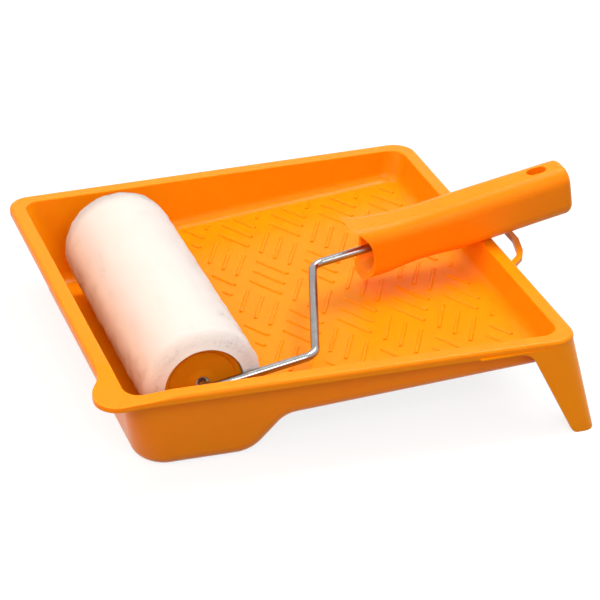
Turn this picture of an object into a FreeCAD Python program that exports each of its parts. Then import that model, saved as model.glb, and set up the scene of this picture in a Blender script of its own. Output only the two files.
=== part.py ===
import FreeCAD, Part
import math
import os

V = FreeCAD.Vector

# Driving dimensions in millimetres. X runs from the deep end to the leg end, Y across
# the tray, Z up. The origin is the centre of the well's flat underside, on the ground.

# how far a cutting solid runs past the face that it cuts
CUT_PAST = 0.1

# tray outline at the rim
RIM_LENGTH = 290.0
RIM_WIDTH_DEEP = 269.0
RIM_WIDTH_LEG = 284.5
RIM_HEIGHT = 60.0
RIM_BAND = 9.6
RIM_EDGE_R = 2.4
RIM_INNER_R = 1.0
LIP_DROP = 5.0
LIP_WALL = 2.2
WALL = 2.2
OUTER_CORNER_R = 15.0
INNER_CORNER_R = 9.0
FOOT_CORNER_R = 20.0

# tray sections
SIDE_DRAFT = 10.0
DEEP_DRAFT = 13.0
LEG_END_DRAFT = 11.0
WELL_CENTRE = 62.0
WELL_FLAT_AHEAD = 18.0
WELL_TOE_R = 22.0
RISER_ANGLE = 52.0
RAMP_BREAK_R = 12.0
RAMP_ANGLE = 4.3
RAMP_START_X = 63.0
RAMP_START_Z = 26.3
FOOT_R = 10.0

# pour spout at the near corner of the deep end
SPOUT_REACH = 8.5
SPOUT_R = 14.0
SPOUT_INSET = 13.5
SPOUT_BLEND_Y = 42.0
SPOUT_DIP = 2.5
SPOUT_DIP_SPAN = 40.0
SPOUT_LIP_DROP = 3.0

# corner legs
LEG_SPLAY = 10.5
LEG_WALL = 2.4
LEG_TOP_WIDTH = 33.0
LEG_KNEE_R = 12.0
LEG_LAP = 1.0
LEG_TOE_WIDTH = 5.0
LEG_TOE_CORNER_R = 8.0
LEG_TOE_R = 5.0

# hanging loop on the leg end
LOOP_HALF_WIDTHS = (42.0, 32.5, 24.5, 8.5)
LOOP_REACHES = (0.0, 10.0, 14.0, 18.0)
LOOP_STRAP = 4.0
LOOP_THICK = 3.0
LOOP_BELOW_RIM = 2.6
LOOP_CORNER_R = 3.0

# ribs on the ramp: groups of bars in a chequer of leaning diamonds
RIB_LEAN = 61.75
RIB_PITCH_X = 36.0
RIB_LENGTH = 27.5
RIB_R = 1.4
RIB_HEIGHT = 1.0
RIBS_PER_GROUP = 3
RIB_FIRST_X = 71.0
RIB_SIDE_GAP = 22.0
RIB_DEEP_GAP = 118.0
RIB_END_GAP = 23.0
RIB_SHORTEST = 5.0

# roller
AXLE_X = 3.8
PILE_R = 36.8
PILE_GAP = 0.3
PILE_PROUD_NEAR = 2.0
PILE_PROUD_FAR = 6.0
PILE_SHOULDER_R = 8.0
COVER_LENGTH = 180.0
COVER_MID_Y = -4.2
CORE_R = 24.5
CORE_WALL = 2.5
CAP_FLANGE = 1.5
CAP_SKIRT_LENGTH = 18.0
CAP_SKIRT_WALL = 2.0
CAP_DISH_DEPTH = 2.0
CAP_WEB = 2.0
HUB_R = 7.0
HUB_NOSE = 1.0
HUB_NOSE_R = 5.6
BUSH_SET_BACK = 2.0
HUB_LENGTH = 20.0
BUSH_R = 4.3
BUSH_COLLAR_R = 6.4
BUSH_COLLAR = 1.5

# wire frame
WIRE_R = 2.75
RUN_CLEARANCE = 0.06
HUB_BEND_R = 6.0
CRANK_BEND_R = 9.0
LEG_CLEAR = 6.0
CRANK_REACH = 69.5
CRANK_END = 102.5
TANG_DEPTH = 70.0
WASHER_R = 9.0
WASHER_THICK = 1.6
WASHER_BORE_PLAY = 0.45
END_PLAY = 0.25
STOP_RING_R = 4.6
STOP_RING_WIDTH = 4.0
PUSH_NUT_R = 6.0
PUSH_NUT_THICK = 1.2
AXLE_TAIL = 3.5

# handle: front face, rear face and height are measured along the wire's tang
HANDLE_FRONT = 128.0
HANDLE_LENGTH = 151.0
HANDLE_HALF_WIDTH = 14.2
HANDLE_TOP = 16.8
HANDLE_BOTTOM = 16.3
MOUTH_HALF_WIDTH = 17.5
MOUTH_TOP = 22.0
MOUTH_BOTTOM = 18.2
MOUTH_WALL = 2.6
MOUTH_DEPTH = 34.0
SCALLOP_R = 24.0
SCALLOP_DEPTH = 12.0
SCALLOP_HEIGHT = 1.0
NOZZLE_CORNER_R = 4.95
HANG_HOLE_LENGTH = 13.0
HANG_HOLE_WIDTH = 8.0
HANG_HOLE_R = 3.9
HANG_HOLE_FROM_REAR = 19.0
HANDLE_CORNER_R = 10.5
REAR_R = 5.0
REST_GAP = 0.4

# what the grip adds to its half width, top and bottom at even steps behind the mouth
GRIP_SHAPE = [
    (1.0, 2.2, 0.7), (0.1, 0.7, -0.5), (-0.2, 0.4, -0.9), (0.1, 0.7, -0.1), (0.2, 1.1, 0.0),
    (0.0, 1.5, -0.3), (-0.2, 1.8, -0.7), (-0.4, 2.1, -1.1), (-0.7, 2.3, -1.5),
]

# places that follow from the sizes above
AXLE_Z = WALL + PILE_GAP + PILE_R
NEAR_FACE = COVER_MID_Y - COVER_LENGTH / 2
FAR_FACE = COVER_MID_Y + COVER_LENGTH / 2
REST_X = RIM_LENGTH - WELL_CENTRE - RIM_BAND - AXLE_X
REST_Z = RIM_HEIGHT - AXLE_Z
REST_TURN = math.asin((HANDLE_BOTTOM + REST_GAP) / math.hypot(REST_X, REST_Z))
HANDLE_RISE = math.degrees(math.atan2(REST_Z, REST_X) + REST_TURN)


def tan_deg(angle):
    return math.tan(math.radians(angle))


def rounded_wire(points, radii, z):
    """Closed flat outline through corner points, each corner rounded by its radius."""
    count = len(points)
    starts = []
    ends = []
    mids = []
    for i in range(count):
        here = V(points[i][0], points[i][1], z)
        before = V(points[i - 1][0], points[i - 1][1], z) - here
        after = V(points[(i + 1) % count][0], points[(i + 1) % count][1], z) - here
        before.normalize()
        after.normalize()
        half = before.getAngle(after) / 2.0
        reach = radii[i] / math.tan(half)
        bisector = before + after
        bisector.normalize()
        centre = here + bisector * (radii[i] / math.sin(half))
        starts.append(here + before * reach)
        ends.append(here + after * reach)
        mids.append(centre - bisector * radii[i])
    edges = []
    for i in range(count):
        edges.append(Part.Arc(starts[i], mids[i], ends[i]).toShape())
        edges.append(Part.LineSegment(ends[i], starts[(i + 1) % count]).toShape())
    return Part.Wire(edges)


def plan_corners(inset_side, inset_deep, inset_leg):
    """Corners of the tapered plan, moved in from the rim's outer edge on each side."""
    x_deep = -WELL_CENTRE + inset_deep
    x_leg = RIM_LENGTH - WELL_CENTRE - inset_leg
    slope = (RIM_WIDTH_LEG - RIM_WIDTH_DEEP) / 2.0 / RIM_LENGTH
    y_deep = RIM_WIDTH_DEEP / 2.0 + slope * inset_deep - inset_side
    y_leg = RIM_WIDTH_LEG / 2.0 - slope * inset_leg - inset_side
    return [(x_deep, -y_deep), (x_leg, -y_leg), (x_leg, y_leg), (x_deep, y_deep)]


def drafted_block(inset, z_low, z_high, r_low, r_high):
    """Tapering block whose sides lean in by the mould's draft below the rim."""
    wires = []
    for z, radius in ((z_low, r_low), (z_high, r_high)):
        drop = RIM_HEIGHT - z
        corners = plan_corners(inset + drop * tan_deg(SIDE_DRAFT),
                               inset + drop * tan_deg(DEEP_DRAFT),
                               inset + drop * tan_deg(LEG_END_DRAFT))
        wires.append(rounded_wire(corners, [radius] * 4, z))
    return Part.makeLoft(wires, True, True)


def ramp_z(x, lift):
    return RAMP_START_Z + lift / math.cos(math.radians(RAMP_ANGLE)) + (x - RAMP_START_X) * tan_deg(RAMP_ANGLE)


def floor_wire(lift):
    """Side view of the floor, lifted square to itself, closed well above the rim."""
    far = RIM_LENGTH
    top = RIM_HEIGHT + 40.0
    toe_r = WELL_TOE_R - lift
    break_r = RAMP_BREAK_R + lift
    toe_start = V(WELL_FLAT_AHEAD, 0, lift)
    toe_centre = V(WELL_FLAT_AHEAD, 0, WELL_TOE_R)
    riser = math.radians(RISER_ANGLE)
    ramp = math.radians(RAMP_ANGLE)
    toe_mid = toe_centre + V(math.sin(riser / 2), 0, -math.cos(riser / 2)) * toe_r
    toe_end = toe_centre + V(math.sin(riser), 0, -math.cos(riser)) * toe_r
    along = V(math.cos(riser), 0, math.sin(riser))
    start = V(RAMP_START_X, 0, ramp_z(RAMP_START_X, lift))
    slope = tan_deg(RAMP_ANGLE)
    run = (start.z + (toe_end.x - start.x) * slope - toe_end.z) / (along.z - along.x * slope)
    corner = toe_end + along * run
    half = (riser - ramp) / 2.0
    cut = break_r * math.tan(half)
    break_start = corner - along * cut
    down_ramp = V(math.cos(ramp), 0, math.sin(ramp))
    break_end = corner + down_ramp * cut
    inward = V(math.sin(riser), 0, -math.cos(riser))
    break_centre = break_start + inward * break_r
    mid_angle = (riser + ramp) / 2.0
    break_mid = break_centre + V(-math.sin(mid_angle), 0, math.cos(mid_angle)) * break_r
    leg_end = V(far, 0, ramp_z(far, lift))
    edges = [
        Part.LineSegment(V(-far, 0, lift), toe_start).toShape(),
        Part.Arc(toe_start, toe_mid, toe_end).toShape(),
        Part.LineSegment(toe_end, break_start).toShape(),
        Part.Arc(break_start, break_mid, break_end).toShape(),
        Part.LineSegment(break_end, leg_end).toShape(),
        Part.LineSegment(leg_end, V(far, 0, top)).toShape(),
        Part.LineSegment(V(far, 0, top), V(-far, 0, top)).toShape(),
        Part.LineSegment(V(-far, 0, top), V(-far, 0, lift)).toShape(),
    ]
    return Part.Wire(edges)


def floor_block(lift):
    wire = floor_wire(lift)
    wire.translate(V(0, -RIM_LENGTH, 0))
    return Part.Face(wire).extrude(V(0, 2 * RIM_LENGTH, 0))


def foot_edges(solid):
    """Edges where the walls meet the floor: all below the rim, none across the floor."""
    picked = []
    for edge in solid.Edges:
        box = edge.BoundBox
        across = box.YLength > RIM_WIDTH_DEEP / 2 and box.XMax < WELL_CENTRE * 3 and box.XMin > -WELL_CENTRE / 2
        if box.ZMax < RIM_HEIGHT - 5.0 and not across:
            picked.append(edge)
    return picked


def basin(lift, inset, z_top):
    """Solid that fills the tray up to z_top, its foot rounded; lift and inset offset it."""
    corner_top = INNER_CORNER_R + WALL - lift
    corner_low = FOOT_CORNER_R + WALL - lift
    solid = floor_block(lift).common(drafted_block(inset, -2.0, z_top, corner_low, corner_top))
    solid = solid.Solids[0]
    return solid.makeFillet(FOOT_R - lift, foot_edges(solid))


def rim_plate(inset, z_low, z_high):
    """Solid rim outline at one inset, with the pour spout bulging from one corner."""
    corners = plan_corners(inset, inset, inset)
    outline = rounded_wire(corners, [OUTER_CORNER_R - inset] * 4, z_low)
    plate = Part.Face(outline).extrude(V(0, 0, z_high - z_low))
    return plate.fuse(spout_prism(inset, z_low, z_high)).removeSplitter().Solids[0]


def spout_prism(inset, z_low, z_high):
    """Lobe of the pour spout with its concave blend back to the deep end's rim."""
    x_side = -WELL_CENTRE + inset
    y_side = -RIM_WIDTH_DEEP / 2 + inset
    radius = SPOUT_R - inset
    centre = V(-WELL_CENTRE - SPOUT_REACH + SPOUT_R, -RIM_WIDTH_DEEP / 2 + SPOUT_INSET, z_low)
    blend = V(x_side, y_side + SPOUT_BLEND_Y, z_low)
    lobe_top = centre + V(-radius, 0, 0)
    swing = math.radians(225)
    lobe_mid = centre + V(math.cos(swing), math.sin(swing), 0) * radius
    lobe_low = centre + V(0, -radius, 0)
    middle = (blend.y + lobe_top.y) / 2
    curve = Part.BezierCurve()
    curve.setPoles([blend, V(x_side, middle, z_low), V(lobe_top.x, middle, z_low), lobe_top])
    inner_low = V(x_side + SPOUT_R * 2, y_side, z_low)
    inner = V(x_side + SPOUT_R * 2, blend.y, z_low)
    edges = [
        curve.toShape(),
        Part.Arc(lobe_top, lobe_mid, lobe_low).toShape(),
        Part.LineSegment(lobe_low, inner_low).toShape(),
        Part.LineSegment(inner_low, inner).toShape(),
        Part.LineSegment(inner, blend).toShape(),
    ]
    return Part.Face(Part.Wire(edges)).extrude(V(0, 0, z_high - z_low))


def dip_ball(drop):
    """Large ball whose underside scoops the rim down towards the spout."""
    radius = SPOUT_DIP_SPAN ** 2 / (2 * SPOUT_DIP)
    centre = V(-WELL_CENTRE, -RIM_WIDTH_DEEP / 2 + SPOUT_INSET / 2, RIM_HEIGHT - SPOUT_DIP - drop + radius)
    return Part.makeSphere(radius, centre)


def top_edges(solid, z):
    return [edge for edge in solid.Edges if edge.BoundBox.ZMin > z - 0.01]


def rim_solid():
    """Flat band with a turned-down lip, lowered in the spout's corner."""
    lip_low = RIM_HEIGHT - LIP_DROP
    below = lip_low - 2 * SPOUT_DIP
    full = rim_plate(0.0, below, RIM_HEIGHT)
    full = full.makeFillet(RIM_EDGE_R, top_edges(full, RIM_HEIGHT))
    under = rim_plate(LIP_WALL, below, RIM_HEIGHT - WALL).cut(dip_ball(WALL))
    trim = Part.makeBox(2 * RIM_LENGTH, 2 * RIM_LENGTH, LIP_DROP + SPOUT_DIP,
                        V(-RIM_LENGTH, -RIM_LENGTH, lip_low - LIP_DROP - SPOUT_DIP))
    return full.cut(under).cut(trim.cut(dip_ball(SPOUT_LIP_DROP)))


def side_prism(points, radii, y_low, y_high):
    """Prism across the tray from a rounded outline drawn in side view."""
    wire = rounded_wire(points, radii, 0.0)
    wire.rotate(V(0, 0, 0), V(1, 0, 0), 90)
    wire.translate(V(0, y_low, 0))
    return Part.Face(wire).extrude(V(0, y_high - y_low, 0))


def leg_section(inset, z):
    """Corner outline of a leg at one height, splayed outwards below the lip."""
    top = RIM_HEIGHT - LIP_DROP
    share = (top - z) / top
    splay = LEG_SPLAY * share - inset
    radius = OUTER_CORNER_R + (LEG_TOE_CORNER_R - OUTER_CORNER_R) * share - inset
    x_rim = RIM_LENGTH - WELL_CENTRE
    y_rim = RIM_WIDTH_LEG / 2
    reach = 2 * LEG_TOP_WIDTH
    corners = [(x_rim - reach, -y_rim - splay), (x_rim + splay, -y_rim - splay),
               (x_rim + splay, -y_rim + reach), (x_rim - reach, -y_rim + reach)]
    return rounded_wire(corners, [1.0, radius, 1.0, 1.0], z)


def near_leg():
    """Thin angle that grows out of the lip, its arms narrowing down to the toe."""
    top = RIM_HEIGHT - LIP_DROP + LEG_LAP
    outer = Part.makeLoft([leg_section(0.0, 0.0), leg_section(0.0, top)], True, True)
    inner = Part.makeLoft([leg_section(LEG_WALL, -1.0), leg_section(LEG_WALL, top + 1.0)], True, True)
    reach = 2 * LEG_TOP_WIDTH
    outline = [(-reach, top), (-reach, RIM_HEIGHT - LIP_DROP), (-LEG_TOP_WIDTH, RIM_HEIGHT - LIP_DROP),
               (-LEG_TOE_WIDTH, 0.0), (reach, 0.0), (reach, top)]
    radii = [0.2, 0.2, LEG_KNEE_R, LEG_TOE_R, 0.2, 0.2]
    across = side_prism(outline, radii, -reach, reach)
    along = across.copy()
    across.translate(V(RIM_LENGTH - WELL_CENTRE, -RIM_WIDTH_LEG / 2, 0))
    along.rotate(V(0, 0, 0), V(0, 0, 1), -90)
    along.translate(V(RIM_LENGTH - WELL_CENTRE, -RIM_WIDTH_LEG / 2, 0))
    return outer.cut(inner).common(across).common(along)


def hanging_loop():
    """Flat angular strap that stands out of the lip at the leg end."""
    x_rim = RIM_LENGTH - WELL_CENTRE
    right = [(x_rim + reach, -half) for reach, half in zip(LOOP_REACHES, LOOP_HALF_WIDTHS)]
    left = [(x, -y) for x, y in reversed(right)]
    root = [(x_rim - 2 * LOOP_STRAP, LOOP_HALF_WIDTHS[0]), (x_rim - 2 * LOOP_STRAP, -LOOP_HALF_WIDTHS[0])]
    outline = right + left + root
    wire = rounded_wire(outline, [LOOP_CORNER_R] * len(outline), RIM_HEIGHT - LOOP_BELOW_RIM - LOOP_THICK)
    hole = wire.makeOffset2D(-LOOP_STRAP)
    strap = Part.Face(wire).extrude(V(0, 0, LOOP_THICK)).cut(Part.Face(hole).extrude(V(0, 0, LOOP_THICK)))
    inside = Part.makeBox(RIM_LENGTH, RIM_LENGTH, RIM_HEIGHT, V(x_rim - LIP_WALL / 2 - RIM_LENGTH, -RIM_LENGTH / 2, 0))
    return strap.cut(inside)


def clip_span(start, direction, length, corners):
    """Part of a straight rib that lies inside a convex plan outline, as two distances."""
    low = 0.0
    high = length
    for i in range(len(corners)):
        ax, ay = corners[i]
        bx, by = corners[(i + 1) % len(corners)]
        nx, ny = -(by - ay), bx - ax
        gap = (start[0] - ax) * nx + (start[1] - ay) * ny
        rate = direction[0] * nx + direction[1] * ny
        if rate > 0:
            low = max(low, -gap / rate)
        else:
            high = min(high, -gap / rate)
    return low, high


def rib_group(x, y, lean):
    """Plan start points and direction of the parallel ribs in one diamond."""
    angle = math.radians(lean)
    along = (math.cos(angle), math.sin(angle))
    step_angle = math.radians(180.0 - lean)
    side = RIB_PITCH_X / 2 / abs(math.cos(angle))
    step = side / RIBS_PER_GROUP
    ribs = []
    for i in range(RIBS_PER_GROUP):
        shift = (i - (RIBS_PER_GROUP - 1) / 2.0) * step
        mid_x = x + shift * math.cos(step_angle)
        mid_y = y + shift * math.sin(step_angle)
        ribs.append(((mid_x - along[0] * RIB_LENGTH / 2, mid_y - along[1] * RIB_LENGTH / 2), along))
    return ribs


def ramp_ribs():
    """Low round bars over the whole ramp, clipped short of its walls."""
    corners = plan_corners(RIB_SIDE_GAP, RIB_DEEP_GAP, RIB_END_GAP)
    row = RIB_PITCH_X / 2 * tan_deg(RIB_LEAN)
    columns = int(RIM_LENGTH / RIB_PITCH_X) + 1
    rows = int(RIM_WIDTH_LEG / 2 / row) + 1
    bars = []
    for j in range(-rows, rows + 1):
        lean = RIB_LEAN if j % 2 == 0 else 180.0 - RIB_LEAN
        offset = 0.0 if j % 2 == 0 else RIB_PITCH_X / 2
        for i in range(-1, columns):
            for start, along in rib_group(RIB_FIRST_X + offset + (i - 1) * RIB_PITCH_X, j * row, lean):
                low, high = clip_span(start, along, RIB_LENGTH, corners)
                if high - low < RIB_SHORTEST:
                    continue
                foot = [V(start[0] + along[0] * d, start[1] + along[1] * d, 0) for d in (low, high)]
                for point in foot:
                    point.z = ramp_z(point.x, WALL + RIB_HEIGHT - RIB_R)
                run = foot[1] - foot[0]
                bars.append(Part.makeCylinder(RIB_R, run.Length, foot[0], run))
    return bars


def mouth_edges(solid):
    """Edges of the tray's mouth: at the rim's height and inside its band."""
    inside = plan_corners(RIM_BAND / 2, RIM_BAND / 2, RIM_BAND / 2)
    picked = []
    for edge in top_edges(solid, RIM_HEIGHT):
        box = edge.BoundBox
        reach = max(abs(box.YMin), abs(box.YMax))
        if box.XMin > inside[0][0] and box.XMax < inside[1][0] and reach < abs(inside[1][1]):
            picked.append(edge)
    return picked


def tray():
    """Basin, rim, spout, legs, loop and ribs in one moulding."""
    outer = basin(0.0, RIM_BAND - WALL, RIM_HEIGHT)
    inner = basin(WALL, RIM_BAND, RIM_HEIGHT + 10.0)
    shell = outer.fuse(rim_solid()).cut(inner)
    shell = shell.makeFillet(RIM_INNER_R, mouth_edges(shell)).cut(dip_ball(0.0))
    leg = near_leg()
    far_leg = leg.mirror(V(0, 0, 0), V(0, 1, 0))
    return shell.fuse([leg, far_leg, hanging_loop()] + ramp_ribs()).removeSplitter()


def turned(profile, y_face, inward):
    """Solid turned about the axle from radius and depth pairs behind an end face."""
    points = [V(AXLE_X + r, y_face + inward * depth, AXLE_Z) for r, depth in profile]
    face = Part.Face(Part.makePolygon(points + points[:1]))
    return face.revolve(V(AXLE_X, 0, AXLE_Z), V(0, 1, 0), 360)


def ring(r_in, r_out, depth, width, y_face, inward):
    return turned([(r_in, depth), (r_out, depth), (r_out, depth + width), (r_in, depth + width)], y_face, inward)


def end_cap(y_face, inward):
    """Dished cap with a flange over the core's end, a skirt inside it and a hub."""
    core_in = CORE_R - CORE_WALL
    skirt_in = core_in - CAP_SKIRT_WALL
    web_back = CAP_DISH_DEPTH + CAP_WEB
    profile = [(CORE_R, 0), (CORE_R, CAP_FLANGE), (core_in, CAP_FLANGE), (core_in, CAP_SKIRT_LENGTH),
               (skirt_in, CAP_SKIRT_LENGTH), (skirt_in, web_back), (HUB_R, web_back), (HUB_R, HUB_LENGTH),
               (BUSH_R, HUB_LENGTH), (BUSH_R, HUB_NOSE), (HUB_NOSE_R, HUB_NOSE),
               (HUB_R + CAP_WEB, CAP_DISH_DEPTH), (skirt_in, CAP_DISH_DEPTH), (core_in, 0)]
    return turned(profile, y_face, inward)


def bush(y_face, inward):
    bore = WIRE_R + RUN_CLEARANCE
    front = HUB_NOSE + BUSH_SET_BACK
    profile = [(bore, front), (BUSH_R, front), (BUSH_R, HUB_LENGTH), (BUSH_COLLAR_R, HUB_LENGTH),
               (BUSH_COLLAR_R, HUB_LENGTH + BUSH_COLLAR), (bore, HUB_LENGTH + BUSH_COLLAR)]
    return turned(profile, y_face, inward)


def pile_cover():
    """Pile sleeve, bonded to the core, its ends rounded and standing a little proud."""
    length = COVER_LENGTH + PILE_PROUD_NEAR + PILE_PROUD_FAR
    outer = Part.makeCylinder(PILE_R, length, V(AXLE_X, NEAR_FACE - PILE_PROUD_NEAR, AXLE_Z), V(0, 1, 0))
    ends = [edge for edge in outer.Edges if edge.Closed]
    outer = outer.makeFillet(PILE_SHOULDER_R, ends)
    bore = Part.makeCylinder(CORE_R, 2 * length, V(AXLE_X, NEAR_FACE - length / 2, AXLE_Z), V(0, 1, 0))
    return outer.cut(bore)


def to_handle_line(shape):
    """Tip a shape drawn level at the axle so that it rises towards the leg end."""
    shape.rotate(V(0, 0, 0), V(0, 1, 0), -HANDLE_RISE)
    shape.translate(V(AXLE_X, 0, AXLE_Z))
    return shape


def wire_frame():
    """One rod: axle, hub bend, leg, crank, and the tang that goes into the handle."""
    leg_y = NEAR_FACE - LEG_CLEAR
    route = [V(0, FAR_FACE + AXLE_TAIL, 0), V(0, leg_y, 0), V(CRANK_REACH, leg_y, 0),
             V(CRANK_END, COVER_MID_Y, 0), V(HANDLE_FRONT + TANG_DEPTH, COVER_MID_Y, 0)]
    bends = [HUB_BEND_R, CRANK_BEND_R, CRANK_BEND_R]
    edges = []
    start = route[0]
    for i, radius in enumerate(bends, 1):
        into = (route[i] - route[i - 1]).normalize()
        out = (route[i + 1] - route[i]).normalize()
        turn = into.getAngle(out)
        cut = radius * math.tan(turn / 2)
        first = route[i] - into * cut
        last = route[i] + out * cut
        inward = (out - into).normalize()
        middle = route[i] + inward * (radius / math.cos(turn / 2) - radius)
        edges.append(Part.LineSegment(start, first).toShape())
        edges.append(Part.Arc(first, middle, last).toShape())
        start = last
    edges.append(Part.LineSegment(start, route[-1]).toShape())
    section = Part.Wire(Part.Circle(route[0], V(0, 1, 0), WIRE_R).toShape())
    rod = Part.Wire(edges).makePipeShell([section], True, False)
    return to_handle_line(rod)


def handle_section(u, half_width, top, bottom, radius):
    """Rounded oblong across the handle, square to the tang."""
    points = [(-half_width, -bottom), (half_width, -bottom), (half_width, top), (-half_width, top)]
    wire = rounded_wire(points, [radius] * 4, 0.0)
    wire.rotate(V(0, 0, 0), V(1, 0, 0), 90)
    wire.rotate(V(0, 0, 0), V(0, 0, 1), 90)
    wire.translate(V(u, COVER_MID_Y, 0))
    return wire


def handle_body():
    """Moulded grip: flared mouth, finger swell, then an even rounded bar to the rear."""
    step = HANDLE_LENGTH / len(GRIP_SHAPE)
    wires = [handle_section(HANDLE_FRONT, MOUTH_HALF_WIDTH, MOUTH_TOP, MOUTH_BOTTOM, HANDLE_CORNER_R)]
    for i, (wider, higher, lower) in enumerate(GRIP_SHAPE, 1):
        sizes = (HANDLE_HALF_WIDTH + wider, HANDLE_TOP + higher, HANDLE_BOTTOM + lower)
        wires.append(handle_section(HANDLE_FRONT + i * step, *sizes, HANDLE_CORNER_R))
    return Part.makeLoft(wires, True, False)


def handle():
    """Grip with a scooped mouth, the rod's socket, a rounded rear and a hanging slot."""
    rear = HANDLE_FRONT + HANDLE_LENGTH
    body = handle_body()
    body = body.makeFillet(REAR_R, [edge for edge in body.Edges if edge.BoundBox.XMin > rear - 0.01])
    socket_end = HANDLE_FRONT + MOUTH_DEPTH
    nozzle = WIRE_R + MOUTH_WALL
    scoop = Part.makeLoft([
        handle_section(HANDLE_FRONT - CUT_PAST, MOUTH_HALF_WIDTH - MOUTH_WALL, MOUTH_TOP - MOUTH_WALL,
                       MOUTH_BOTTOM - MOUTH_WALL, HANDLE_CORNER_R - MOUTH_WALL),
        handle_section(socket_end, nozzle, nozzle, nozzle, NOZZLE_CORNER_R)], True, True)
    scallop = Part.makeCylinder(SCALLOP_R, RIM_LENGTH,
                                V(HANDLE_FRONT + SCALLOP_DEPTH - SCALLOP_R, -RIM_LENGTH / 2, SCALLOP_HEIGHT), V(0, 1, 0))
    bore = Part.makeCylinder(WIRE_R, TANG_DEPTH, V(HANDLE_FRONT, COVER_MID_Y, 0), V(1, 0, 0))
    hole_x = rear - HANG_HOLE_FROM_REAR
    half = HANG_HOLE_LENGTH / 2
    points = [(hole_x - half, -HANG_HOLE_WIDTH / 2), (hole_x + half, -HANG_HOLE_WIDTH / 2),
              (hole_x + half, HANG_HOLE_WIDTH / 2), (hole_x - half, HANG_HOLE_WIDTH / 2)]
    slot = Part.Face(rounded_wire(points, [HANG_HOLE_R] * 4, -MOUTH_TOP * 2))
    slot = slot.extrude(V(0, 0, MOUTH_TOP * 4))
    slot.translate(V(0, COVER_MID_Y, 0))
    return to_handle_line(body.cut(scoop).cut(scallop).cut(bore).cut(slot))


def build():
    """Every separate piece of the tray and its roller, by name."""
    core_in = CORE_R - CORE_WALL
    washer_in = WIRE_R + WASHER_BORE_PLAY
    inner_washer_at = HUB_LENGTH + BUSH_COLLAR + END_PLAY
    stop_at = inner_washer_at + WASHER_THICK + END_PLAY
    outer_washer_at = HUB_NOSE - END_PLAY - WASHER_THICK
    nut_at = outer_washer_at - END_PLAY - PUSH_NUT_THICK
    core_length = COVER_LENGTH - 2 * CAP_FLANGE
    return {
        "tray": tray(),
        "handle": handle(),
        "wire_frame": wire_frame(),
        "pile_cover": pile_cover(),
        "core_tube": ring(core_in, CORE_R, CAP_FLANGE, core_length, NEAR_FACE, 1),
        "near_end_cap": end_cap(NEAR_FACE, 1),
        "far_end_cap": end_cap(FAR_FACE, -1),
        "near_bush": bush(NEAR_FACE, 1),
        "far_bush": bush(FAR_FACE, -1),
        "inner_washer": ring(washer_in, WASHER_R, inner_washer_at, WASHER_THICK, FAR_FACE, -1),
        "outer_washer": ring(washer_in, WASHER_R, outer_washer_at, WASHER_THICK, FAR_FACE, -1),
        "stop_ring": ring(WIRE_R, STOP_RING_R, stop_at, STOP_RING_WIDTH, FAR_FACE, -1),
        "push_nut": ring(WIRE_R, PUSH_NUT_R, nut_at, PUSH_NUT_THICK, FAR_FACE, -1),
    }


def main():
    os.makedirs("parts", exist_ok=True)
    for name, shape in build().items():
        shape.exportStep("parts/" + name + ".step")


main()
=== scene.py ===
import math

import bpy
import numpy as np
from mathutils import Matrix, Vector, noise


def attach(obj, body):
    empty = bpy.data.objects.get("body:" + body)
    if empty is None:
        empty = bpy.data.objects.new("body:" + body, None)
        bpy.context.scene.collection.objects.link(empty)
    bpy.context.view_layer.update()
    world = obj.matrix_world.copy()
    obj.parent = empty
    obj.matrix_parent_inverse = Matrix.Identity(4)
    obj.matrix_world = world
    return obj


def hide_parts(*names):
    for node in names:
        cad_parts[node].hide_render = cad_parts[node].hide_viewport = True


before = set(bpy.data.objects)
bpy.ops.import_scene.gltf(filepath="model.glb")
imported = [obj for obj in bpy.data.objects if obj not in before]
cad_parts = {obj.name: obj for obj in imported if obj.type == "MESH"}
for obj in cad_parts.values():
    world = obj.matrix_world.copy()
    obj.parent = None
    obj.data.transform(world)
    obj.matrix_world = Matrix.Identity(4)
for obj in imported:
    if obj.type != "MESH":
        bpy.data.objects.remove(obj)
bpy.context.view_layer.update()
bpy.ops.object.select_all(action="DESELECT")

# camera fitted to the tray's straight edges, in metres and degrees
LOOK_AT = Vector((0.0830, 0.0, 0.03187))
VIEW_AZIMUTH = -19.85
VIEW_ELEVATION = 29.57
VIEW_ROLL = 1.65
VIEW_DISTANCE = 1.4993
LENS = 140.58
FRAME_SHIFT = (0.0383, 0.0017)

# pile sleeve, in metres
SLEEVE_AXIS = Vector((0.0038, 0.0, 0.0393))
SLEEVE_NEAR = -0.0942
SLEEVE_FAR = 0.0858
NEAR_FRINGE = 0.0035
FAR_FRINGE = 0.0125
CORE_RADIUS = 0.0245
PILE_RADIUS = 0.0368
SHOULDER_POWER = 3.0
NEAR_ROUNDING = 0.007
FAR_ROUNDING = 0.010
END_PILE = 0.003
UNDERLAY = 0.0007
END_INSET = 0.0004
BORE_GAP = 0.0003
RING_SIDES = 220
RING_STEPS = 160

# plush tufts: bumps per metre and their height in metres
SLOW_TUFTS, SLOW_TUFT_HEIGHT = 120.0, 0.0009
FINE_TUFTS, FINE_TUFT_HEIGHT = 420.0, 0.0004

# plush fibres, in metres; leans are shares of the outward direction
FIBRES = 100000
FIBRE_ROOT_DEPTH = 0.0026
FIBRE_SHORTEST = 0.0014
FIBRE_LONGEST = 0.0030
FIBRE_HALF_WIDTH = 0.00007
FIBRE_SCATTER = 0.16
NEAR_LEAN = 0.8
FAR_LEAN = 0.9
SHADING_SCATTER = 0.04
END_SHADING = 1.2
# painted shade: the point between the dark root colour and the bright tip colour given to fibre
# roots and to the sleeve under the fibres
PAINTED_ROOT_SHADE = 0.35

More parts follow.
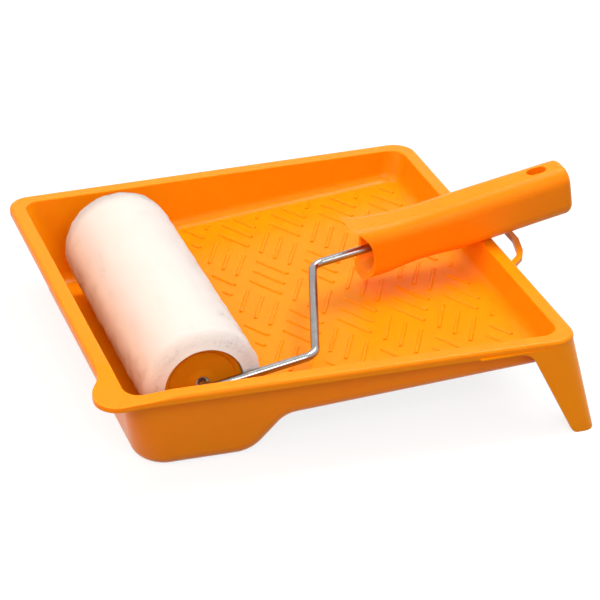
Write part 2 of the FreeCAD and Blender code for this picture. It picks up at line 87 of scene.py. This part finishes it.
# studio lights: name, place, target, width, height, watts and colour
LIGHT_TARGET = (0.08, 0, 0.03)
FILL_TARGET = (0.0, 0, 0.03)
WHITE = (1, 1, 1)
LIGHTS = (
    ("key_light", (0.75, 0.35, 1.55), LIGHT_TARGET, 0.8, 0.8, 18.0, WHITE),
    ("top_light", (-0.5, 0.3, 1.5), LIGHT_TARGET, 1.0, 0.9, 7.0, WHITE),
    ("front_light", (-0.1, -1.3, 1.1), LIGHT_TARGET, 0.9, 0.7, 11.0, WHITE),
    ("warm_fill", (-1.1, -0.2, 0.75), FILL_TARGET, 0.7, 0.6, 9.0, (1.0, 0.52, 0.26)),
)
FLOOR_GREY = 0.24
FLOOR_GLOW = 0.82
WORLD_LIGHT = 0.38


def plastic_skin_group():
    """Moulded plastic surface: faint mottling, soft gloss changes and a fine skin."""
    group = bpy.data.node_groups.new("moulded_skin", "ShaderNodeTree")
    face = group.interface
    tint = face.new_socket(name="Colour", in_out="INPUT", socket_type="NodeSocketColor")
    tint.default_value = (0.9, 0.3, 0.01, 1.0)
    inputs = (("Mottle", 0.05), ("Gloss", 0.3), ("Gloss change", 0.06), ("Grain size", 900.0))
    for name, value in inputs:
        socket = face.new_socket(name=name, in_out="INPUT", socket_type="NodeSocketFloat")
        socket.default_value = value
    face.new_socket(name="Colour", in_out="OUTPUT", socket_type="NodeSocketColor")
    face.new_socket(name="Roughness", in_out="OUTPUT", socket_type="NodeSocketFloat")
    face.new_socket(name="Height", in_out="OUTPUT", socket_type="NodeSocketFloat")
    nodes, links = group.nodes, group.links
    given = nodes.new("NodeGroupInput")
    made = nodes.new("NodeGroupOutput")
    place = nodes.new("ShaderNodeTexCoord")
    cloud = nodes.new("ShaderNodeTexNoise")
    cloud.inputs["Scale"].default_value = 14.0
    cloud.inputs["Detail"].default_value = 3.0
    grain = nodes.new("ShaderNodeTexNoise")
    grain.inputs["Detail"].default_value = 2.0
    links.new(place.outputs["Object"], cloud.inputs["Vector"])
    links.new(place.outputs["Object"], grain.inputs["Vector"])
    links.new(given.outputs["Grain size"], grain.inputs["Scale"])
    centred = nodes.new("ShaderNodeMath")
    centred.operation = "SUBTRACT"
    centred.inputs[1].default_value = 0.5
    links.new(cloud.outputs["Fac"], centred.inputs[0])
    swing = nodes.new("ShaderNodeMath")
    swing.operation = "MULTIPLY"
    links.new(centred.outputs[0], swing.inputs[0])
    links.new(given.outputs["Mottle"], swing.inputs[1])
    bright = nodes.new("ShaderNodeMath")
    bright.operation = "ADD"
    bright.inputs[1].default_value = 1.0
    links.new(swing.outputs[0], bright.inputs[0])
    shade = nodes.new("ShaderNodeHueSaturation")
    links.new(bright.outputs[0], shade.inputs["Value"])
    links.new(given.outputs["Colour"], shade.inputs["Color"])
    links.new(shade.outputs["Color"], made.inputs["Colour"])
    rough_swing = nodes.new("ShaderNodeMath")
    rough_swing.operation = "MULTIPLY"
    links.new(centred.outputs[0], rough_swing.inputs[0])
    links.new(given.outputs["Gloss change"], rough_swing.inputs[1])
    rough = nodes.new("ShaderNodeMath")
    rough.operation = "ADD"
    links.new(rough_swing.outputs[0], rough.inputs[0])
    links.new(given.outputs["Gloss"], rough.inputs[1])
    links.new(rough.outputs[0], made.inputs["Roughness"])
    links.new(grain.outputs["Fac"], made.inputs["Height"])
    return group


def moulded_plastic(name, colour, gloss, bump, skin, glow=0.0):
    """Plastic finish built from the moulded skin group with its own values."""
    mat = bpy.data.materials.new(name)
    mat.use_nodes = True
    nodes, links = mat.node_tree.nodes, mat.node_tree.links
    shader = nodes["Principled BSDF"]
    surface = nodes.new("ShaderNodeGroup")
    surface.node_tree = skin
    surface.inputs["Colour"].default_value = (*colour, 1.0)
    surface.inputs["Mottle"].default_value = 0.06
    surface.inputs["Gloss"].default_value = gloss
    bump_node = nodes.new("ShaderNodeBump")
    bump_node.inputs["Strength"].default_value = bump
    bump_node.inputs["Distance"].default_value = 0.0002
    links.new(surface.outputs["Colour"], shader.inputs["Base Color"])
    links.new(surface.outputs["Roughness"], shader.inputs["Roughness"])
    links.new(surface.outputs["Height"], bump_node.inputs["Height"])
    links.new(bump_node.outputs["Normal"], shader.inputs["Normal"])
    shader.inputs["Specular IOR Level"].default_value = 0.12
    shader.inputs["Subsurface Weight"].default_value = glow
    shader.inputs["Subsurface Radius"].default_value = (1.0, 0.22, 0.03)
    shader.inputs["Subsurface Scale"].default_value = 0.006
    return mat


def plated_metal(name, colour, gloss, scratch):
    """Bright plating with fine draw marks and slight dull patches."""
    mat = bpy.data.materials.new(name)
    mat.use_nodes = True
    nodes, links = mat.node_tree.nodes, mat.node_tree.links
    shader = nodes["Principled BSDF"]
    shader.inputs["Metallic"].default_value = 1.0
    place = nodes.new("ShaderNodeTexCoord")
    patches = nodes.new("ShaderNodeTexNoise")
    patches.inputs["Scale"].default_value = 160.0
    patches.inputs["Detail"].default_value = 4.0
    links.new(place.outputs["Object"], patches.inputs["Vector"])
    tones = nodes.new("ShaderNodeValToRGB")
    tones.color_ramp.elements[0].position = 0.35
    tones.color_ramp.elements[0].color = tuple(0.86 * c for c in colour) + (1.0,)
    tones.color_ramp.elements[1].position = 0.65
    tones.color_ramp.elements[1].color = (*colour, 1.0)
    links.new(patches.outputs["Fac"], tones.inputs["Fac"])
    links.new(tones.outputs["Color"], shader.inputs["Base Color"])
    rough = nodes.new("ShaderNodeMapRange")
    rough.inputs["To Min"].default_value = gloss
    rough.inputs["To Max"].default_value = gloss + 0.12
    links.new(patches.outputs["Fac"], rough.inputs["Value"])
    links.new(rough.outputs["Result"], shader.inputs["Roughness"])
    marks = nodes.new("ShaderNodeTexNoise")
    marks.inputs["Scale"].default_value = 1400.0
    links.new(place.outputs["Object"], marks.inputs["Vector"])
    bump = nodes.new("ShaderNodeBump")
    bump.inputs["Strength"].default_value = scratch
    bump.inputs["Distance"].default_value = 0.0001
    links.new(marks.outputs["Fac"], bump.inputs["Height"])
    links.new(bump.outputs["Normal"], shader.inputs["Normal"])
    return mat


def plush():
    """White pile with painted shade: fibre roots and the sleeve under them are darker and
    warmer than the tips; soft sheen.
    """
    mat = bpy.data.materials.new("pile_plush")
    mat.use_nodes = True
    nodes, links = mat.node_tree.nodes, mat.node_tree.links
    shader = nodes["Principled BSDF"]
    height = nodes.new("ShaderNodeAttribute")
    height.attribute_name = "fibre"
    tones = nodes.new("ShaderNodeValToRGB")
    # painted shade: darker, warmer root colour at 0 and brighter tip colour at 1
    tones.color_ramp.elements[0].color = (0.70, 0.645, 0.60, 1.0)
    tones.color_ramp.elements[1].color = (0.74, 0.70, 0.67, 1.0)
    links.new(height.outputs["Fac"], tones.inputs["Fac"])
    links.new(tones.outputs["Color"], shader.inputs["Base Color"])
    shader.inputs["Roughness"].default_value = 0.95
    shader.inputs["Specular IOR Level"].default_value = 0.1
    shader.inputs["Sheen Weight"].default_value = 0.15
    return mat


def sleeve_radius(y):
    """Plush surface: a round sleeve with rounded ends past the core."""
    near_run = (y - SLEEVE_NEAR + NEAR_FRINGE) / NEAR_ROUNDING
    far_run = (SLEEVE_FAR + FAR_FRINGE - y) / FAR_ROUNDING
    run = min(1.0, max(0.0, min(near_run, far_run)))
    shoulder = (1.0 - (1.0 - run) ** SHOULDER_POWER) ** (1.0 / SHOULDER_POWER)
    return CORE_RADIUS + END_PILE + (PILE_RADIUS - CORE_RADIUS - END_PILE) * shoulder


def sleeve_tufts(spot):
    """Slow unevenness of the plush, about 8 mm across, with finer tufts on it."""
    slow = noise.noise(spot * SLOW_TUFTS) * SLOW_TUFT_HEIGHT
    fine = noise.noise(spot * FINE_TUFTS) * FINE_TUFT_HEIGHT
    return slow + fine


def sleeve_points():
    """Rings of the sleeve from near to far, then the two rings of its bore."""
    turns = 2 * math.pi * np.arange(RING_SIDES) / RING_SIDES
    first = SLEEVE_NEAR - NEAR_FRINGE + END_INSET
    last = SLEEVE_FAR + FAR_FRINGE - END_INSET
    stations = np.linspace(first, last, RING_STEPS + 1)
    points = []
    for y in stations:
        for turn in turns:
            out = Vector((math.cos(turn), 0, math.sin(turn)))
            radius = sleeve_radius(y) - UNDERLAY
            spot = out * radius + Vector((0, y, 0))
            points.append(spot + out * sleeve_tufts(spot) + SLEEVE_AXIS)
    for y in (stations[0], stations[-1]):
        for turn in turns:
            out = Vector((math.cos(turn), 0, math.sin(turn)))
            points.append(out * (CORE_RADIUS + BORE_GAP) + Vector((0, y, 0)) + SLEEVE_AXIS)
    return points


def sleeve_faces():
    """Closed skin over the points of sleeve_points, with its ends and bore."""
    faces = []
    for j in range(RING_STEPS):
        here, there = j * RING_SIDES, (j + 1) * RING_SIDES
        for i in range(RING_SIDES):
            k = (i + 1) % RING_SIDES
            faces.append((here + i, there + i, there + k, here + k))
    last = RING_STEPS * RING_SIDES
    bore = last + RING_SIDES
    far_bore = bore + RING_SIDES
    for i in range(RING_SIDES):
        k = (i + 1) % RING_SIDES
        faces.append((i, k, bore + k, bore + i))
        faces.append((last + i, far_bore + i, far_bore + k, last + k))
        faces.append((bore + i, bore + k, far_bore + k, far_bore + i))
    return faces


def fibre_points(rng, count):
    """Three points for each fibre: two at its root and its tip."""
    y = rng.uniform(SLEEVE_NEAR - NEAR_FRINGE, SLEEVE_FAR + FAR_FRINGE, count)
    turn = rng.uniform(0, 2 * math.pi, count)
    outer = np.array([sleeve_radius(spot) for spot in y])
    out = np.stack([np.cos(turn), np.zeros(count), np.sin(turn)], 1)
    side = np.stack([-np.sin(turn), np.zeros(count), np.cos(turn)], 1)
    axis = np.array([0.0, 1.0, 0.0])
    past_near = np.clip((SLEEVE_NEAR + 0.004 - y) / 0.0075, 0, 1)
    past_far = np.clip((y - SLEEVE_FAR + 0.005) / 0.0145, 0, 1)
    tilt = past_far * FAR_LEAN - past_near * NEAR_LEAN + rng.normal(0, FIBRE_SCATTER, count)
    way = out + axis * tilt[:, None] + side * rng.normal(0, FIBRE_SCATTER, count)[:, None]
    way /= np.linalg.norm(way, axis=1)[:, None]
    root = out * (outer - FIBRE_ROOT_DEPTH)[:, None] + axis * y[:, None] + np.array(SLEEVE_AXIS)
    tip = root + way * rng.uniform(FIBRE_SHORTEST, FIBRE_LONGEST, count)[:, None]
    reach = np.hypot(tip[:, 0] - SLEEVE_AXIS.x, tip[:, 2] - SLEEVE_AXIS.z)
    short = np.minimum(1.0, PILE_RADIUS / reach)
    tip[:, 0] = SLEEVE_AXIS.x + (tip[:, 0] - SLEEVE_AXIS.x) * short
    tip[:, 2] = SLEEVE_AXIS.z + (tip[:, 2] - SLEEVE_AXIS.z) * short
    wide = np.cross(way, rng.normal(0, 1, (count, 3)))
    wide *= FIBRE_HALF_WIDTH / np.linalg.norm(wide, axis=1)[:, None]
    return np.stack([root - wide, root + wide, tip], 1).reshape(-1, 3)


def soft_normals(verts, base, rng):
    """Shading directions straight out from the axle, turning outward at both ends."""
    soft = verts - np.array(SLEEVE_AXIS)
    lengthwise = soft[:, 1].copy()
    soft[:, 1] = 0
    soft /= np.maximum(np.linalg.norm(soft, axis=1)[:, None], 1e-6)
    end_far = np.clip((lengthwise - SLEEVE_FAR + 0.004) / 0.012, 0, 1)
    end_near = np.clip((SLEEVE_NEAR + 0.005 - lengthwise) / 0.008, 0, 1)
    soft[:, 1] = end_far * END_SHADING - end_near * END_SHADING
    soft[base:] += rng.normal(0, SHADING_SCATTER, (len(verts) - base, 3))
    soft /= np.linalg.norm(soft, axis=1)[:, None]
    return soft


def build_pile():
    """Dense plush: a soft bumpy sleeve under a coat of short upright fibres."""
    rng = np.random.default_rng(7)
    rings = sleeve_points()
    faces = sleeve_faces()
    count = FIBRES
    base = len(rings)
    verts = np.concatenate([np.array(rings), fibre_points(rng, count)])
    faces += [(base + 3 * i, base + 3 * i + 1, base + 3 * i + 2) for i in range(count)]
    mesh = bpy.data.meshes.new("pile_plush")
    mesh.from_pydata(verts.tolist(), [], faces)
    # painted shade: fibre roots and the sleeve get the darker root colour, fibre tips the
    # bright tip colour
    painted_fibre_shade = np.tile([PAINTED_ROOT_SHADE, PAINTED_ROOT_SHADE, 1.0], count)
    shade = np.concatenate([np.full(base, PAINTED_ROOT_SHADE), painted_fibre_shade])
    painted_shade_attr = mesh.attributes.new("fibre", "FLOAT", "POINT")
    painted_shade_attr.data.foreach_set("value", shade)
    mesh.polygons.foreach_set("use_smooth", [True] * len(mesh.polygons))
    mesh.normals_split_custom_set_from_vertices(soft_normals(verts, base, rng).tolist())
    pile = bpy.data.objects.new("pile_plush", mesh)
    bpy.context.collection.objects.link(pile)
    pile.data.materials.append(plush())
    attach(pile, "roller_cover")
    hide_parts("pile_cover")


def dress_nodes():
    """Finishes for the nodes whose CAD shape stays."""
    skin = plastic_skin_group()
    orange = moulded_plastic("tray_orange", (0.92, 0.268, 0.001), 0.30, 0.15, skin, glow=0.45)
    grip = moulded_plastic("handle_orange", (0.94, 0.262, 0.002), 0.36, 0.2, skin, glow=0.45)
    cap = moulded_plastic("cap_orange", (0.60, 0.215, 0.003), 0.35, 0.1, skin, glow=0.2)
    pale = moulded_plastic("bush_pale", (0.70, 0.69, 0.65), 0.5, 0.1, skin)
    grey = moulded_plastic("core_grey", (0.50, 0.50, 0.48), 0.6, 0.2, skin)
    wire = plated_metal("wire_plating", (0.37, 0.365, 0.36), 0.18, 0.05)
    trim = plated_metal("trim_plating", (0.44, 0.43, 0.41), 0.28, 0.1)
    finishes = {
        "tray": orange, "handle": grip, "near_end_cap": cap, "far_end_cap": cap,
        "near_bush": pale, "far_bush": pale, "inner_washer": trim, "outer_washer": trim,
        "core_tube": grey, "wire_frame": wire, "stop_ring": trim, "push_nut": trim,
        "pile_cover": pale,
    }
    for name, finish in finishes.items():
        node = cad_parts[name]
        for place in node.material_slots:
            place.material = finish
        if not node.material_slots:
            node.data.materials.append(finish)


def area_light(name, at, towards, width, height, power, colour):
    """Soft rectangular light aimed at a point."""
    data = bpy.data.lights.new(name, "AREA")
    data.shape = "RECTANGLE"
    data.size = width
    data.size_y = height
    data.energy = power
    data.color = colour
    lamp = bpy.data.objects.new(name, data)
    bpy.context.collection.objects.link(lamp)
    lamp.location = at
    lamp.rotation_mode = "QUATERNION"
    lamp.rotation_quaternion = (Vector(towards) - Vector(at)).to_track_quat("-Z", "Y")


def seen_rays(tree):
    """Socket that is 1 for camera, mirror and see-through rays, and 0 for the rest."""
    path = tree.nodes.new("ShaderNodeLightPath")
    total = path.outputs["Is Camera Ray"]
    for kind in ("Is Glossy Ray", "Is Transmission Ray"):
        add = tree.nodes.new("ShaderNodeMath")
        add.operation = "ADD"
        add.use_clamp = True
        tree.links.new(total, add.inputs[0])
        tree.links.new(path.outputs[kind], add.inputs[1])
        total = add.outputs[0]
    return total


def studio():
    """Pale floor, soft lights and a white surround."""
    bpy.ops.mesh.primitive_plane_add(size=12.0, location=(0, 0, 0))
    floor = bpy.context.active_object
    floor.name = "studio_floor"
    mat = bpy.data.materials.new("floor_pale")
    mat.use_nodes = True
    nodes, links = mat.node_tree.nodes, mat.node_tree.links
    shader = nodes["Principled BSDF"]
    shader.inputs["Base Color"].default_value = (FLOOR_GREY, FLOOR_GREY, FLOOR_GREY, 1.0)
    shader.inputs["Roughness"].default_value = 0.9
    shader.inputs["Specular IOR Level"].default_value = 0.0
    lift = nodes.new("ShaderNodeMath")
    lift.operation = "MULTIPLY"
    lift.inputs[1].default_value = FLOOR_GLOW
    links.new(seen_rays(mat.node_tree), lift.inputs[0])
    shader.inputs["Emission Color"].default_value = (1.0, 1.0, 1.0, 1.0)
    links.new(lift.outputs[0], shader.inputs["Emission Strength"])
    floor.data.materials.append(mat)
    bpy.ops.object.select_all(action="DESELECT")
    world = bpy.data.worlds.new("studio")
    world.use_nodes = True
    sky = world.node_tree.nodes["Background"]
    sky.inputs["Color"].default_value = (1.0, 1.0, 1.0, 1.0)
    glow = world.node_tree.nodes.new("ShaderNodeMapRange")
    glow.inputs["To Min"].default_value = WORLD_LIGHT
    glow.inputs["To Max"].default_value = 1.0
    world.node_tree.links.new(seen_rays(world.node_tree), glow.inputs["Value"])
    world.node_tree.links.new(glow.outputs["Result"], sky.inputs["Strength"])
    bpy.context.scene.world = world
    for light in LIGHTS:
        area_light(*light)
    view = bpy.context.scene.view_settings
    view.view_transform = "Standard"


def camera():
    """Camera at the photograph's angle."""
    a, e, r = (math.radians(v) for v in (VIEW_AZIMUTH, VIEW_ELEVATION, VIEW_ROLL))
    back = Vector((math.sin(a) * math.cos(e), -math.cos(a) * math.cos(e), math.sin(e)))
    level = Vector((0, 0, 1)).cross(back).normalized()
    up = back.cross(level)
    right = level * math.cos(r) + up * math.sin(r)
    up = back.cross(right)
    data = bpy.data.cameras.new("studio_camera")
    data.sensor_width = 36.0
    data.lens = LENS
    data.shift_x, data.shift_y = FRAME_SHIFT
    data.clip_start = 0.05
    data.clip_end = 30.0
    cam = bpy.data.objects.new("studio_camera", data)
    bpy.context.collection.objects.link(cam)
    turn = Matrix((right, up, back)).transposed()
    cam.matrix_world = Matrix.Translation(LOOK_AT + back * VIEW_DISTANCE) @ turn.to_4x4()
    bpy.context.scene.camera = cam


dress_nodes()
build_pile()
studio()
camera()
